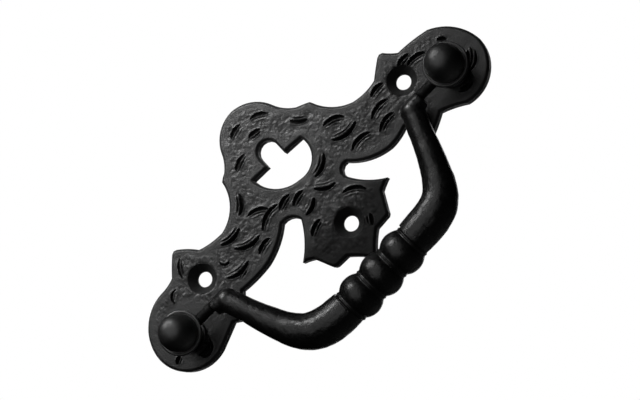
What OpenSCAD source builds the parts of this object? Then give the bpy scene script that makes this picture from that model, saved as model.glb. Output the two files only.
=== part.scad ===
// Drop-bail cabinet pull on a chiselled backplate.
// The pull hangs on a door: the back of the plate lies in the plane y = 0, the front faces -Y,
// +X runs to the right and +Z up. The origin lies midway between the two posts.
// Every module but hang() draws the pull lying on its back: x right, y up the door, z off the door.

/* [Posts] */
// Distance between the axes of the two posts
post_span = 98; // [90:0.5:110]
// Diameter of the domed head
head_d = 11.2; // [9:0.1:12]
// Diameter of the thin rim round the foot of the dome
rim_d = 12.2; // [11:0.1:14]
// Thickness of the rim
rim_t = 0.9; // [0.6:0.1:1.4]
// Diameter of the neck that carries the pin
neck_d = 6.4; // [5.8:0.1:8]
// Diameter of the foot flange on the plate
foot_d = 9; // [8:0.1:10]
// Thickness of the foot flange
foot_t = 0.8; // [0.6:0.1:1.2]
// Metal between the pin hole and the rim
hole_roof = 1.1; // [0.8:0.1:2]
// Diameter of the shank through the plate
shank_d = 5; // [4:0.1:6]
// Diameter of the riveted shank end in the back of the plate
peen_d = 6.8; // [6.2:0.1:8]
// Depth of the riveted end
peen_t = 0.9; // [0.6:0.1:1.4]

/* [Pins] */
// Diameter of the bail's pins
pin_d = 3.2; // [2.6:0.1:3.6]
// Radial play of a pin in its post
pin_play = 0.06; // [0.03:0.01:0.1]
// Play between a pin's end and the bottom of its hole
pin_end_play = 0.4; // [0.2:0.1:0.8]
// How far a pin reaches into its post
pin_grip = 3.4; // [2.5:0.1:4]

/* [Bail] */
// Distance from a post's axis to the middle of the arm's upper end
arm_inset = 14.5; // [13:0.1:18]
// Diameter of an arm at its upper end
arm_top_d = 6.7; // [5.5:0.1:7.5]
// Diameter of the arms' lower ends beside the beads
bar_d = 10.4; // [9:0.1:11]
// Extra radius that pulls the arm out before it meets the bar
arm_swell = 1; // [0:0.1:1.2]
// Gap between the arms and the face of the plate
face_gap = 0.5; // [0.3:0.1:1.5]
// Distance from the tip of the pendant down to the middle of the bar
bar_below_tip = 5.3; // [4.8:0.1:9]
// How far the bar hangs below the ends of the arms
bar_sag = 0.3; // [0:0.1:0.5]
// Rise of the bar towards the right, in degrees
bar_tilt = 1.7; // [0:0.1:2.5]
// Diameter of the beads
bead_d = 12.2; // [11:0.1:12.4]
// Width of one bead
bead_w = 6.8; // [4:0.1:7.2]
// Distance from bead to bead
bead_pitch = 7.6; // [7.2:0.1:9]
// Diameter of the small collars beside the beads
collar_d = 10.3; // [10:0.1:11.4]
// Width of a collar
collar_w = 0.7; // [0.5:0.1:1.7]
// Depth of the grooves beside the collars, below the ends of the arms
groove_depth = 0.4; // [0.2:0.05:0.6]

/* [Backplate] */
// Thickness of the plate
plate_t = 3; // [2.4:0.1:4.5]
// Width of the bevel round the front edges
bevel = 0.5; // [0.3:0.05:0.5]
// Radius of the round ends
end_r = 11.3; // [10.5:0.1:12.5]
// Height of the round ends' centres above the posts
end_rise = 2.1; // [0:0.1:3]
// Height of the arms' middle line above the posts
arm_rise = 6.4; // [5:0.1:8]
// Depth of the arms from top edge to bottom edge
arm_depth = 15.8; // [14:0.1:18]
// Radius of the top lobe
lobe_r = 10.2; // [9.5:0.1:12]
// Height of the top lobe's centre above the posts
lobe_rise = 26.7; // [25.5:0.1:30]

/* [Keyhole cut-out] */
// Radius of the half-round part
key_r = 8.6; // [7:0.1:9.5]
// Height of its centre above the posts
key_rise = 17.8; // [17:0.1:19]
// Width of the slot above it
slot_w = 5.9; // [4:0.1:7]
// Height of the slot's straight sides above the centre
slot_rise = 3.4; // [2:0.1:4.5]

/* [Screw holes] */
// Diameter of the screw holes
screw_d = 4.2; // [3.5:0.1:4.6]
// Diameter of the countersinks at the face
sink_d = 8.4; // [7.5:0.1:9]
// Full angle of the countersinks
sink_angle = 90; // [82:1:100]
// Left screw: distance to the left of the middle
left_screw_x = 36.7; // [35.5:0.1:38]
// Left screw: height above the posts
left_screw_z = 9.1; // [8:0.1:10]
// Right screw: distance to the right of the middle
right_screw_x = 38; // [36.5:0.1:39]
// Right screw: height above the posts
right_screw_z = 8.2; // [7.5:0.1:9.5]
// Lower screw: distance to the right of the middle
low_screw_x = 2.4; // [1:0.1:3.5]
// Lower screw: depth below the posts
low_screw_drop = 9; // [8:0.1:11]

/* [Chisel marks] */
// Width of a mark at its middle
mark_w = 0.9; // [0.4:0.05:1.2]
// Depth of a mark
mark_depth = 0.45; // [0.2:0.05:0.8]

/* [Hidden] */
$fn = 64;
black_iron = [0.09, 0.09, 0.095];
arc_chord = 1.3;   // longest straight step on the plate's curves
over = 0.1;        // how far a cutter runs past the face that it cuts

left_post_at = [-post_span / 2, 0];
right_post_at = [post_span / 2, 0];
left_end = left_post_at + [0.2, end_rise];
right_end = right_post_at + [-0.3, end_rise - 0.2];
lobe = [-0.6, lobe_rise];
key = [-0.1, key_rise];
left_screw = [-left_screw_x, left_screw_z];
right_screw = [right_screw_x, right_screw_z];
low_screw = [low_screw_x, -low_screw_drop];
arm_top = arm_rise + arm_depth / 2;
arm_foot = arm_rise - arm_depth / 2;
pendant_tip = low_screw + [-1.2, -12];
sink_depth = (sink_d - screw_d) / 2 / tan(sink_angle / 2);

// Bail sizes that follow the plate and the posts
arm_pass_d = arm_top_d + 0.9;                      // arm diameter where it crosses the plate's lower edge
pin_z = plate_t + face_gap + arm_pass_d / 2;       // height of the hinge axis off the door
pin_end_x = post_span / 2 - neck_d / 2 + pin_grip;
arm_x = post_span / 2 - arm_inset;
arm_drop = (arm_top_d - pin_d) / 2;                // the arm's top is flush with the pin's
bar_drop = -pendant_tip[1] + bar_below_tip;
bar_half = 2 * bead_pitch - bead_pitch / 2;        // middle of the outer collars
bar_end = bar_half + (bead_pitch - bead_w) / 2;    // where the arms begin
left_hang = bar_drop * [-0.28, -0.7];              // how far an arm keeps its first direction
right_hang = bar_drop * [-0.335, -0.85];
left_turn = bar_drop * 0.565;                      // how far it keeps its last one
right_turn = bar_drop * 0.545;
rim_z = pin_z + pin_d / 2 + hole_roof;
head_z = rim_z + rim_t + head_d / 9;               // centre of the dome's sphere

// Points of an arc from p to q, without q. bow is the height of the arc over its chord:
// positive bows out of a solid that is walked round anticlockwise.
function arc(p, q, bow) =
    abs(bow) < 0.05 ? [p] :
    let (d = q - p, c = norm(d), out = [d[1], -d[0]] / c, s = sign(bow),
         r = (c * c / 4 + bow * bow) / (2 * abs(bow)), half = 2 * atan(2 * abs(bow) / c),
         mid = (p + q) / 2 + out * (bow - s * r), n = max(2, ceil(r * half * PI / 90 / arc_chord)))
    [for (i = [0 : n - 1]) let (a = s * 2 * half * i / n, v = p - mid)
        mid + [v[0] * cos(a) - v[1] * sin(a), v[0] * sin(a) + v[1] * cos(a)]];

// A closed outline from corners [point, bow of the side that follows]
function outline(corners) = [
    for (i = [0 : len(corners) - 1])
        each arc(corners[i][0], corners[(i + 1) % len(corners)][0], corners[i][1])
];

function polar(centre, r, a) = centre + r * [cos(a), sin(a)];
function unit(v) = v / norm(v);
function normal(p, q) = unit([q[1] - p[1], p[0] - q[0]]);

// The outline moved outwards by d, with mitred corners
function moved(pts, d) = [
    for (i = [0 : len(pts) - 1])
        let (n1 = normal(pts[(i + len(pts) - 1) % len(pts)], pts[i]),
             n2 = normal(pts[i], pts[(i + 1) % len(pts)]))
        pts[i] + d * (n1 + n2) / (1 + n1 * n2)
];

// Corners of the plate, anticlockwise from the tip of the pendant
plate_corners = [
    [pendant_tip, -0.3],
    // right side of the pendant
    [low_screw + [4.3, -6.4], 0], [low_screw + [8.5, -6.1], 0.2], [low_screw + [9.5, -4.9], 0],
    [low_screw + [12, -0.2], -0.1], [low_screw + [15.4, 1.3], -0.8],
    [low_screw + [7.7, 9.7], -1.1],
    // lower edge of the right arm and the cusp behind the bail
    [low_screw + [10.4, 12.4], 1.2], [[24, arm_foot - 1], 0.3], [right_screw + [-7.8, -9.5], -0.8],
    [right_post_at + [-16.2, -8.6], 0.15],
    [right_post_at + [-9.5, -5.4], -0.25],
    // round the right end
    [polar(right_end, end_r - 0.2, 256), end_r * 0.35], [polar(right_end, end_r - 0.1, -5), end_r * 0.18],
    [polar(right_end, end_r + 0.4, 74), 0.25], [right_screw + [4.4, 6.3], -0.15],
    // upper cusp, shoulder and lobe on the right
    [right_screw + [1.5, 9.4], 0.35], [right_screw + [-0.4, 9.4], 0.05], [right_screw + [-5.2, 5.6], -0.5],
    [[25, arm_top - 0.5], -1.25], [lobe + [17.6, -4.7], 0.2], [lobe + [16.6, -3.7], 0],
    [lobe + [13.6, -2.3], -0.5], [polar(lobe, lobe_r - 0.2, 18), lobe_r * 0.17],
    [polar(lobe, lobe_r, 90), lobe_r * 0.17], [polar(lobe, lobe_r, 158), -0.35],
    // shoulder and upper cusp on the left
    [lobe + [-12.6, -0.8], 0.1], [lobe + [-14.7, -2.2], -2.2], [[-24.5, arm_top], -0.35],
    [left_screw + [4.5, 6.5], 0.25], [left_screw + [-0.1, 11.1], 0.35], [left_screw + [-1.9, 11.1], 0.1],
    [left_screw + [-6.3, 6.3], -0.25],
    // round the left end
    [left_end + [0.8, end_r + 1.1], end_r * 0.32], [polar(left_end, end_r, 183), end_r * 0.39],
    [polar(left_end, end_r, 287), 0],
    // cusp behind the bail and lower edge of the left arm
    [left_post_at + [10.8, -5.7], 0.1], [left_post_at + [15.7, -8.7], -0.8],
    [left_screw + [6, -10.4], 0.3], [[-21, arm_foot + 0.3], 0.7], [low_screw + [-13.2, 13], -1.1],
    // left side of the pendant
    [low_screw + [-8.8, 10], -0.65], [low_screw + [-16.2, 1.3], -0.1],
    [low_screw + [-13.3, -0.2], 0], [low_screw + [-11.2, -5.1], 0.15], [low_screw + [-10.1, -6], 0],
    [low_screw + [-6.4, -6.1], -0.3],
];

// Corners of the keyhole cut-out, anticlockwise from the right end of the right shoulder
key_corners = [
    [key + [key_r - 0.1, -0.6], 0], [key + [slot_w / 2 - 0.3, -0.2], 0],
    [key + [slot_w / 2 - 0.3, slot_rise], slot_w / 2],
    [key + [-slot_w / 2 - 0.3, slot_rise], 0], [key + [-slot_w / 2 - 0.3, 0.3], 0],
    // the half-round is fuller on its right
    [key + [-key_r, 0.5], key_r * 0.27], [key + [0.6, -key_r], key_r * 0.375],
];

// Chisel marks: [offset from an anchor, length, direction in which the mark bows]
marks = [
    [lobe, [[[-2.8, 5.8], 4.1, 104], [[5.3, 4.1], 4.7, 61], [[0.9, 1.4], 3.5, 81],
            [[-7.7, -1.4], 4.6, 110], [[11.3, -6.4], 4.5, -132], [[-14.3, -11.2], 5.5, -41]]],
    [left_screw, [[[13.2, 1.2], 6.4, -92], [[15.1, -3.4], 7.3, -108], [[8.7, -7], 6.8, -96]]],
    [key, [[[-12.8, -5.9], 5.5, 62], [[-12.4, -8.9], 7.4, 107], [[-6.6, -9.3], 4.5, 105],
           [[-3.2, -11.3], 4.3, 105], [[7.8, -11.1], 6.2, -63], [[-18.4, -13.9], 4.7, 103]]],
    [low_screw, [[[-4.2, 9.7], 4.7, -68], [[1.3, 10.8], 5.6, -121], [[-7.6, 6.2], 4.5, 112],
                 [[7.5, 6], 6, 53], [[5.3, -4], 2.9, -32]]],
    [right_screw, [[[-19.7, 6.6], 5.7, 67], [[-20.2, -0.1], 7.4, -98], [[-9.4, 0], 6.2, 97],
                   [[-18.7, -2.6], 6.2, 90], [[-10.6, -4.1], 5.7, 102], [[-6.4, 3.9], 4.3, 95],
                   [[3.7, 4.3], 4.2, 98]]],
    [right_end, [[[-3.8, 8.6], 5.3, 80], [[5.5, -3.2], 4.5, -51], [[4.5, 6.6], 2.4, 46],
                 [[-0.3, -7.8], 2.6, -104]]],
    [left_end, [[[0.2, -8.3], 4.4, -84], [[-7.4, -4.1], 2.2, 114]]],
];

module hang() {
    rotate([90, 0, 0]) children();
}

// Cutter for a bevel: a three-cornered ring that follows pts. side is 1 on an outer edge, -1 on a hole.
module bevel_cutter(pts, side) {
    n = len(pts);
    low = moved(pts, side * over);
    high = moved(pts, -side * (bevel + over));
    rings = [for (p = low) [p[0], p[1], plate_t - bevel - over], for (p = high) [p[0], p[1], plate_t + over],
             for (p = low) [p[0], p[1], plate_t + over]];
    quads = [for (k = [0 : 2], i = [0 : n - 1]) let (j = (i + 1) % n, m = (k + 1) % 3)
        [[k * n + i, k * n + j, m * n + j], [k * n + i, m * n + j, m * n + i]]];
    polyhedron([for (r = rings) r], [for (q = quads, t = q) side < 0 ? [t[2], t[1], t[0]] : t]);
}

// Crescent mark: what one arc leaves of a second, flatter one
module crescent(length) {
    rise = length / 5;
    r_out = (length * length / 4 + rise * rise) / (2 * rise);
    flat = rise - min(mark_w, rise * 0.7);
    r_in = (length * length / 4 + flat * flat) / (2 * flat);
    difference() {
        translate([-r_out, 0]) circle(r_out);
        translate([flat - rise - r_in, 0]) circle(r_in);
    }
}

module chisel_marks() {
    for (group = marks, m = group[1])
        translate([each (group[0] + m[0]), plate_t - mark_depth])
            rotate(m[2]) linear_extrude(mark_depth + over) crescent(m[1]);
}

module screw_hole(at) {
    translate([at[0], at[1], -over]) cylinder(d = screw_d, h = plate_t + 2 * over);
    translate([at[0], at[1], plate_t - sink_depth])
        cylinder(d1 = screw_d, d2 = sink_d + 2 * over * tan(sink_angle / 2), h = sink_depth + over);
}

module rivet_hole(at) {
    translate([at[0], at[1], -over]) cylinder(d = shank_d, h = plate_t + 2 * over);
    translate([at[0], at[1], -over])
        cylinder(d1 = peen_d + 2 * over * (peen_d - shank_d) / 2 / peen_t, d2 = shank_d, h = peen_t + over);
}

module backplate() {
    rim = outline(plate_corners);
    hole = outline(key_corners);
    color(black_iron) hang() difference() {
        linear_extrude(plate_t) difference() {
            polygon(rim);
            polygon(hole);
        }
        bevel_cutter(rim, 1);
        bevel_cutter(hole, -1);
        for (s = [left_screw, right_screw, low_screw]) screw_hole(s);
        for (p = [left_post_at, right_post_at]) rivet_hole(p);
        chisel_marks();
    }
}

// Disc with a half-round edge, standing on z = 0
module round_disc(d, t) {
    rotate_extrude() {
        square([d / 2 - t / 2, t]);
        translate([d / 2 - t / 2, t / 2]) circle(t / 2);
    }
}

// side is 1 where the bail lies to the right of the post, -1 where it lies to the left
module post(at, side) {
    hole_floor = neck_d / 2 - pin_grip - pin_end_play;
    color(black_iron) hang() translate([at[0], at[1], 0]) difference() {
        union() {
            cylinder(d1 = peen_d, d2 = shank_d, h = peen_t);
            cylinder(d = shank_d, h = plate_t + foot_t);
            translate([0, 0, plate_t]) round_disc(foot_d, foot_t);
            translate([0, 0, plate_t]) cylinder(d = neck_d, h = rim_z + rim_t - plate_t);
            translate([0, 0, rim_z]) round_disc(rim_d, rim_t);
            intersection() {
                translate([0, 0, head_z]) sphere(d = head_d);
                translate([0, 0, rim_z + rim_t / 2]) cylinder(d = rim_d, h = head_d);
            }
        }
        translate([side * hole_floor, 0, pin_z]) rotate([0, side * 90, 0])
            cylinder(d = pin_d + 2 * pin_play, h = neck_d);
    }
}

module left_post() {
    post(left_post_at, 1);
}

module right_post() {
    post(right_post_at, -1);
}

// Cubic curve with four control values, at t between 0 and 1
function cubic(c, t) =
    c[0] * pow(1 - t, 3) + c[1] * 3 * t * pow(1 - t, 2) + c[2] * 3 * t * t * (1 - t) + c[3] * pow(t, 3);

// Middle line of an arm, from its upper end down to the bar. side is 1 for the right arm and -1 for
// the left one, which is drawn as its mirror image.
function arm_line(side, t) =
    let (out = [cos(bar_tilt), side * sin(bar_tilt)],
         a = [arm_x, -arm_drop], d = [0, bar_sag - bar_drop] + bar_end * out)
    side > 0 ? cubic([a, a + right_hang, d + right_turn * out, d], t) :
    cubic([a, a + left_hang, d + left_turn * out, d], t);

// Tapering arm, swept along its middle line with round sections
module arm(side) {
    sides = 20;
    steps = 18;
    spread = 0.4;
    rings = [for (i = [0 : steps])
        let (t = i / steps, p = arm_line(side, t), e = 0.001,
             dir = unit(arm_line(side, min(t + e, 1)) - arm_line(side, max(t - e, 0))),
             r = cubic([arm_top_d / 2, arm_top_d / 2 + spread, bar_d / 2 + arm_swell, bar_d / 2], t))
        for (j = [0 : sides - 1]) let (a = 360 * j / sides)
            [p[0] + r * cos(a) * dir[1], p[1] - r * cos(a) * dir[0], r * sin(a)]];
    walls = [for (i = [0 : steps - 1], j = [0 : sides - 1])
        let (k = (j + 1) % sides, a = i * sides + j, b = i * sides + k)
        [[a, b + sides, a + sides], [a, b, b + sides]]];
    faces = concat([for (w = walls, t = w) t], [[for (j = [sides - 1 : -1 : 0]) j]],
                   [[for (j = [0 : sides - 1]) steps * sides + j]]);
    polyhedron(rings, faces);
}

// Blunt upper end of an arm, with its pin
module knuckle() {
    end_d = arm_top_d + 0.2;
    soft = 1;
    length = arm_inset / 3.4;
    translate([arm_x, -arm_drop, 0]) {
        sphere(d = end_d);
        rotate([0, 90, 0]) rotate_extrude() {
            square([end_d / 2 - soft, length]);
            square([end_d / 2, length - soft]);
            translate([end_d / 2 - soft, length - soft]) circle(soft);
        }
    }
    translate([arm_x, 0, 0]) rotate([0, 90, 0]) cylinder(d = pin_d, h = pin_end_x - arm_x);
}

// Turned bead: a barrel cut from a fat ring
module bead() {
    rise = (bead_d - bar_d) / 2 + groove_depth;
    r = (bead_w * bead_w / 4 + rise * rise) / (2 * rise);
    rotate_extrude() intersection() {
        translate([bead_d / 2 - r, 0]) circle(r);
        translate([0, -bead_w / 2]) square([bead_d, bead_w]);
    }
}

module collar() {
    translate([0, 0, -collar_w / 2]) round_disc(collar_d, collar_w);
}

module bail_handle() {
    color(black_iron) hang() translate([0, 0, pin_z]) {
        for (side = [-1, 1]) mirror([side < 0 ? 1 : 0, 0, 0]) {
            arm(side);
            knuckle();
        }
        translate([0, -bar_drop, 0]) rotate([0, 90, bar_tilt]) {
            cylinder(d = bar_d - 2 * groove_depth, h = 2 * (bar_end + collar_w), center = true);
            for (i = [-1 : 1]) translate([0, 0, i * bead_pitch]) bead();
            for (i = [-1.5 : 1.5]) translate([0, 0, i * bead_pitch]) collar();
        }
    }
}

backplate();
left_post();
right_post();
bail_handle();
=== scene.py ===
"""Looks of a drop-bail cabinet pull in black cast iron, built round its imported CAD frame.

The frame gives the plate's outline, its holes and its chisel marks, so each dressed piece sits exactly
where its solid is. Sizes in the classes are in millimetres. Meshes are made in metres.
"""

from __future__ import annotations

import logging
import math
from dataclasses import dataclass, field
from enum import Enum

import bmesh
import bpy
import numpy as np
from mathutils import Matrix, Quaternion, Vector
from mathutils.geometry import delaunay_2d_cdt


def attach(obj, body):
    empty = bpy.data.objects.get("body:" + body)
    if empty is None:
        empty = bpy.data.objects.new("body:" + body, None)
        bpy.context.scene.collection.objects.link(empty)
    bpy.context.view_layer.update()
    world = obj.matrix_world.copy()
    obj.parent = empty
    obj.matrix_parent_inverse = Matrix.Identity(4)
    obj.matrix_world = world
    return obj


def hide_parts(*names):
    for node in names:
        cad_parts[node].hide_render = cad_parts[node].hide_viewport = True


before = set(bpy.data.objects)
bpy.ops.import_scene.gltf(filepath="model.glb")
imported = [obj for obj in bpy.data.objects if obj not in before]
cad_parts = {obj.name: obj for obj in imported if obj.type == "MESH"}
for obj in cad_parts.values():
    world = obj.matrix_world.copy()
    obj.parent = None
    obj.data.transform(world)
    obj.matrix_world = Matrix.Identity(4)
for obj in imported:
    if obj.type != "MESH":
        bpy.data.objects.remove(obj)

LOG = logging.getLogger("cabinet_pull")

# MM turns millimetres into metres. PLAIN is the tone of iron that is neither darkened nor paled. FAINT_CUT is
# the strength of a faint chisel mark, LEAST_SAG the least sag of a mark's arc in millimetres.
MM = 0.001
PLAIN = 0.5
WHITE = (1.0, 1.0, 1.0, 1.0)
SHARP_ANGLE = math.radians(38)
FAINT_CUT = 0.6
LEAST_SAG = 0.2

Array = np.ndarray
Pair = tuple[float, float]
Triple = tuple[float, float, float]
Surface = tuple[np.ndarray, list]
Socket = bpy.types.NodeSocket
Piece = bpy.types.Object


class Side(Enum):
    """The two ends of the pull, seen from the front."""

    LEFT = -1
    RIGHT = 1


class Tone(Enum):
    """Factors on a finish's colour where the tone is 0 (cavity) and where it is 1 (worn). The tones also carry
    painted light and shade.
    """

    CAVITY = 0.12
    WORN = 2.6


def value_noise(x: Array, z: Array, cell: float, seed: int) -> Array:
    """Smooth noise between -1 and 1 on a square lattice.

    Args:
        x: First coordinates.
        z: Second coordinates.
        cell: Lattice spacing, in the unit of the coordinates.
        seed: Seed of the lattice values.

    Returns:
        One value per point.
    """
    size, shift = 512, 1000
    lattice = np.random.default_rng(seed).uniform(-1, 1, (size, size))
    gx, gz = x / cell + shift, z / cell + shift
    ix, iz = np.floor(gx).astype(int), np.floor(gz).astype(int)
    fx, fz = gx - ix, gz - iz
    fx, fz = fx * fx * (3 - 2 * fx), fz * fz * (3 - 2 * fz)

    def row(up: int) -> Array:
        """Values along the lower (0) or the upper side (1) of each point's cell."""
        left, right = lattice[ix % size, (iz + up) % size], lattice[(ix + 1) % size, (iz + up) % size]
        return left * (1 - fx) + right * fx

    return row(0) * (1 - fz) + row(1) * fz


@dataclass(frozen=True)
class Lumps:
    """One layer of unevenness: its height, the width of its lumps and its pattern's seed."""

    height: float
    cell: float
    seed: int

    def at(self, x: Array, z: Array) -> Array:
        """The layer's rise or fall at each point of a plane."""
        return self.height * value_noise(x, z, self.cell, self.seed)


def smooth_step(value: Array, low: float, high: float) -> Array:
    """0 up to low, 1 from high on, and a smooth rise between them."""
    t = np.clip((value - low) / (high - low), 0, 1)
    return t * t * (3 - 2 * t)


def full_turn(count: int) -> Array:
    """Evenly spaced angles of one turn."""
    return np.linspace(0, 2 * np.pi, count, endpoint=False)


def off_door(flat: Array, height: float | Array) -> Array:
    """Points (x, z) set at a height off the plate's back, as rows (x, y, z)."""
    return np.stack([flat[:, 0], np.full(len(flat), -height), flat[:, 1]], axis=1)


def vertex_rows(mesh: bpy.types.Mesh, what: str = "co") -> Array:
    """The places (co) or the normals (normal) of a mesh's vertices, one row each."""
    values = np.empty(len(mesh.vertices) * 3)
    mesh.vertices.foreach_get(what, values)
    return values.reshape(-1, 3)


def paint_tones(mesh: bpy.types.Mesh, tones: float | Array) -> None:
    """Writes the colour attribute 'tone', one value or one per vertex: 0 cavity, 0.5 plain, 1 worn."""
    rgba = np.ones((len(mesh.vertices), 4))
    rgba[:, :3] = np.reshape(tones, (-1, 1))
    shade = mesh.color_attributes.get("tone") or mesh.color_attributes.new("tone", "FLOAT_COLOR", "POINT")
    shade.data.foreach_set("color", rgba.ravel())


def make_mesh(name: str, points: Array | list, faces: list, tones: float | Array = PLAIN) -> Piece:
    """Makes a smooth-shaded mesh object.

    Args:
        name: Name of the piece.
        points: Vertices in millimetres, one row each.
        faces: Vertex indices of each face.
        tones: One tone for all vertices, or one for each.

    Returns:
        The object, linked to the scene.
    """
    mesh = bpy.data.meshes.new(name)
    mesh.from_pydata((np.asarray(points) * MM).tolist(), [], [list(map(int, f)) for f in faces])
    mesh.validate()
    mesh.shade_smooth()
    mesh.set_sharp_from_angle(angle=SHARP_ANGLE)
    paint_tones(mesh, tones)
    piece = bpy.data.objects.new(name, mesh)
    bpy.context.scene.collection.objects.link(piece)
    return piece


def skin_rings(rings: list[Array]) -> Surface:
    """Joins rings of equal length into one tube with closed ends.

    Args:
        rings: Point rings, all the same way round.

    Returns:
        The points and the faces.
    """
    count = len(rings[0])
    points = np.concatenate([*rings, [rings[0].mean(axis=0), rings[-1].mean(axis=0)]])
    first, last, base = len(points) - 2, len(points) - 1, (len(rings) - 1) * count
    steps = [(i, (i + 1) % count) for i in range(count)]
    faces = [(k + i, k + j, k + count + j, k + count + i) for k in range(0, base, count) for i, j in steps]
    for i, j in steps:
        faces += [(first, j, i), (last, base + i, base + j)]
    return points, faces


def face_outwards(piece: Piece) -> None:
    """Makes every face of a closed piece look outwards."""
    work = bmesh.new()
    work.from_mesh(piece.data)
    bmesh.ops.recalc_face_normals(work, faces=work.faces)
    work.to_mesh(piece.data)
    work.free()


def roughen(piece: Piece, *layers: Lumps) -> None:
    """Sinks the surface unevenly, as sand casting leaves it, and never raises it.

    Args:
        piece: The piece.
        layers: Layers of lumps, one after the other. The lowest places sink by a layer's height.
    """
    mesh = piece.data
    for layer in layers:
        places, normals = vertex_rows(mesh), vertex_rows(mesh, "normal")
        x, y, z = (places / MM).T
        lumps = sum(value_noise(u, v, layer.cell, layer.seed + k)
                    for k, (u, v) in enumerate(((x, z), (y, x), (z, y)))) / 3
        sunk = places + normals * (layer.height * MM * (lumps - 1) / 2)[:, None]
        mesh.vertices.foreach_set("co", sunk.ravel())
        mesh.update()


@dataclass(frozen=True)
class Graph:
    """The nodes of a material or a world, with short ways to add to them."""

    owner: bpy.types.Material | bpy.types.World

    def __post_init__(self) -> None:
        """Turns the owner's nodes on."""
        self.owner.use_nodes = True

    @property
    def shader(self) -> bpy.types.Node:
        """The material's main shader."""
        return self.owner.node_tree.nodes["Principled BSDF"]

    def feed(self, node: bpy.types.Node, inputs: dict) -> None:
        """Sets some of a node's inputs.

        Args:
            node: The node.
            inputs: By name or number, the value of each input or the output socket that feeds it.
        """
        for key, value in inputs.items():
            if isinstance(value, Socket):
                self.owner.node_tree.links.new(value, node.inputs[key])
            else:
                node.inputs[key].default_value = value

    def add(self, kind: str, inputs: dict | None = None) -> bpy.types.Node:
        """Adds a node of a type and feeds its inputs."""
        node = self.owner.node_tree.nodes.new(kind)
        self.feed(node, inputs or {})
        return node

    def ranged(self, value: Socket, source: Pair, target: Pair) -> Socket:
        """Carries a value over from the source range to the target range, clamped."""
        ends = {"From Min": source[0], "From Max": source[1], "To Min": target[0], "To Max": target[1]}
        return self.add("ShaderNodeMapRange", {"Value": value, **ends}).outputs["Result"]

    def maths(self, operation: str, first: Socket, second: Socket | float, clamp: bool = False) -> Socket:
        """Joins two values by a math operation, clamped between 0 and 1 if asked for."""
        node = self.add("ShaderNodeMath", {0: first, 1: second})
        node.operation, node.use_clamp = operation, clamp
        return node.outputs["Value"]

    def noise(self, where: Socket, size: float, detail: float) -> Socket:
        """Noise with lumps of a size in millimetres and a number of finer octaves."""
        inputs = {"Vector": where, "Scale": 1 / (size * MM), "Detail": detail}
        return self.add("ShaderNodeTexNoise", inputs).outputs["Fac"]

    def bump(self, height: Socket, depth: float, under: dict | None = None) -> Socket:
        """The normal of a height field, depth in millimetres, over the normal in under if there is one."""
        inputs = {"Strength": 1.0, "Distance": depth * MM, "Height": height, **(under or {})}
        return self.add("ShaderNodeBump", inputs).outputs["Normal"]


@dataclass(frozen=True)
class BlackIron:
    """Satin black finish on cast iron: colour set by the tone, uneven gloss, fine grain and small pits.

    Sizes are in millimetres. A pair belongs to the low and the high places of a noise.
    """

    name: str
    colour: Triple = (0.016, 0.016, 0.016)
    roughness: Pair = (0.32, 0.46)
    specular: float = 0.5
    grain_size: float = 0.55
    grain_height: float = 0.05
    pit_spacing: float = 2.2
    pit_edge: Pair = (0.05, 0.22)
    pit_depth: float = 0.0
    dark_tone_roughness: float = 0.4
    dark_tone_shine: float = 0.12
    cloud_size: float = 6.0
    cloud_tint: Pair = (0.78, 1.22)
    speckle_size: float = 0.9
    noise_range: Pair = (0.3, 0.7)

    def material(self) -> bpy.types.Material:
        """Builds the node material.

        Returns:
            The material.
        """
        graph = Graph(bpy.data.materials.new(self.name))
        where = graph.add("ShaderNodeTexCoord").outputs["Object"]
        attribute = graph.add("ShaderNodeAttribute")
        attribute.attribute_name = "tone"
        tone = attribute.outputs["Fac"]

        clouds = graph.noise(where, self.cloud_size, detail=3.0)
        tint = graph.add("ShaderNodeMix")
        tint.data_type, tint.blend_type = "RGBA", "MULTIPLY"
        graph.feed(tint, {"Factor": 1.0, "A": self._ramp(graph, tone),
                          "B": graph.ranged(clouds, self.noise_range, self.cloud_tint)})

        speckle = graph.noise(where, self.speckle_size, detail=2.0)
        gloss = graph.ranged(speckle, self.noise_range, self.roughness)
        # Low tones are rougher and shine less; in the cuts, on the pendant and on the pins they carry painted shade.
        dark_tone_rough = graph.ranged(tone, (PLAIN, 0.0), (0.0, self.dark_tone_roughness))
        shine = graph.ranged(tone, (0.0, PLAIN), (self.specular * self.dark_tone_shine, self.specular))

        normal = graph.bump(graph.noise(where, self.grain_size, detail=4.0), self.grain_height)
        if self.pit_depth > 0:
            cells = graph.add("ShaderNodeTexVoronoi", {"Vector": where, "Scale": 1 / (self.pit_spacing * MM)})
            near = graph.ranged(cells.outputs["Distance"], self.pit_edge, (0.0, 1.0))
            normal = graph.bump(near, self.pit_depth, {"Normal": normal})
        graph.feed(graph.shader, {"Metallic": 0.0, "Base Color": tint.outputs["Result"], "Normal": normal,
                                  "Roughness": graph.maths("ADD", gloss, dark_tone_rough, clamp=True),
                                  "Specular IOR Level": shine})
        return graph.owner

    def _ramp(self, graph: Graph, tone: Socket) -> Socket:
        """The finish's colour at each tone, from cavity over plain to worn, painted light and shade included."""
        node = graph.add("ShaderNodeValToRGB", {"Fac": tone})
        stops = node.color_ramp.elements
        stops.new(PLAIN)
        for stop, place, factor in zip(stops, (0.0, PLAIN, 1.0), (Tone.CAVITY.value, 1.0, Tone.WORN.value)):
            stop.position = place
            stop.color = (*(min(1.0, c * factor) for c in self.colour), 1.0)
        return node.outputs["Color"]


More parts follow.
